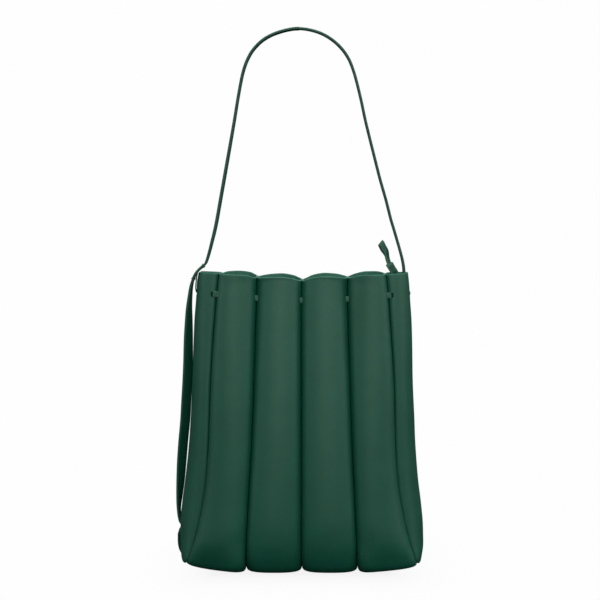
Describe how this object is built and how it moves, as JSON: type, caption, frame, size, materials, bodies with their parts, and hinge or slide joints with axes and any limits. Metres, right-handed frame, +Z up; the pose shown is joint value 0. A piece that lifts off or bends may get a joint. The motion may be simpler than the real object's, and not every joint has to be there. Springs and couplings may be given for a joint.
{
  "type": "bucket bag",
  "caption": "Tall leather bucket bag with fluted walls, gusseted sides, rounded bottom, a flat drawstring lace with slider and a thin shoulder strap.",
  "frame": {"origin": "middle of the bottom face, on the surface the bag stands on", "axes": "+Z up, -Y towards the front wall, +X towards the gusset with the lace loop and slider"},
  "size_m": [0.2526, 0.1268, 0.5378],
  "materials": {
    "bag_leather": "smooth semi-matt dark green leather",
    "strap_leather": "smooth semi-matt dark green leather, painted edges",
    "lace_leather": "flat cut leather lace",
    "thread": "matt dark green thread",
    "stiffener_board": "matt black sheet"
  },
  "bodies": {
    "bag_base": {"base_panel": "bag_leather", "base_board": "stiffener_board", "left_gusset": "bag_leather", "right_gusset": "bag_leather", "left_seam_stitching": "thread", "right_seam_stitching": "thread", "drawstring_left_run": "lace_leather", "drawstring_right_front_run": "lace_leather", "drawstring_right_back_run": "lace_leather", "strap_lower_run": "strap_leather", "strap_keeper": "strap_leather", "keeper_tab": "strap_leather", "keeper_tab_bar": "strap_leather", "strap_right_end": "strap_leather", "strap_right_stop": "strap_leather"},
    "front_wall": {"front_panel": "bag_leather", "front_pleat_stitching": "thread", "drawstring_front_run": "lace_leather"},
    "back_wall": {"back_panel": "bag_leather", "back_pleat_stitching": "thread", "drawstring_back_run": "lace_leather"},
    "strap_arch": {"shoulder_strap": "strap_leather"},
    "lace_loop": {"drawstring_loop": "lace_leather"},
    "slider": {"cord_slider": "strap_leather"}
  },
  "joints": [
    {"name": "front_wall_open", "type": "hinge", "parent": "bag_base", "child": "front_wall", "pos_m": [0, -0.05, 0.0175], "axis": [1, 0, 0], "range_deg": [0, 6], "stiffness_Nm_per_rad": 0.6},
    {"name": "back_wall_open", "type": "hinge", "parent": "bag_base", "child": "back_wall", "pos_m": [0, 0.05, 0.0175], "axis": [1, 0, 0], "range_deg": [-6, 0], "stiffness_Nm_per_rad": 0.6},
    {"name": "strap_swing", "type": "hinge", "parent": "bag_base", "child": "strap_arch", "pos_m": [0, 0, 0.309], "axis": [1, 0, 0], "range_deg": [-90, 90], "stiffness_Nm_per_rad": 0.06},
    {"name": "lace_pull", "type": "slide", "parent": "bag_base", "child": "lace_loop", "axis": [0, 0, 1], "range_m": [-0.016, 0]},
    {"name": "slider_travel", "type": "slide", "parent": "lace_loop", "child": "slider", "axis": [-0.4318, 0, 0.902], "range_m": [-0.001, 0.007]}
  ],
  "couplings": [
    {"joint": "back_wall_open", "follows": "front_wall_open", "ratio": -1},
    {"joint": "lace_pull", "follows": "front_wall_open", "m_per_rad": -0.146}
  ]
}
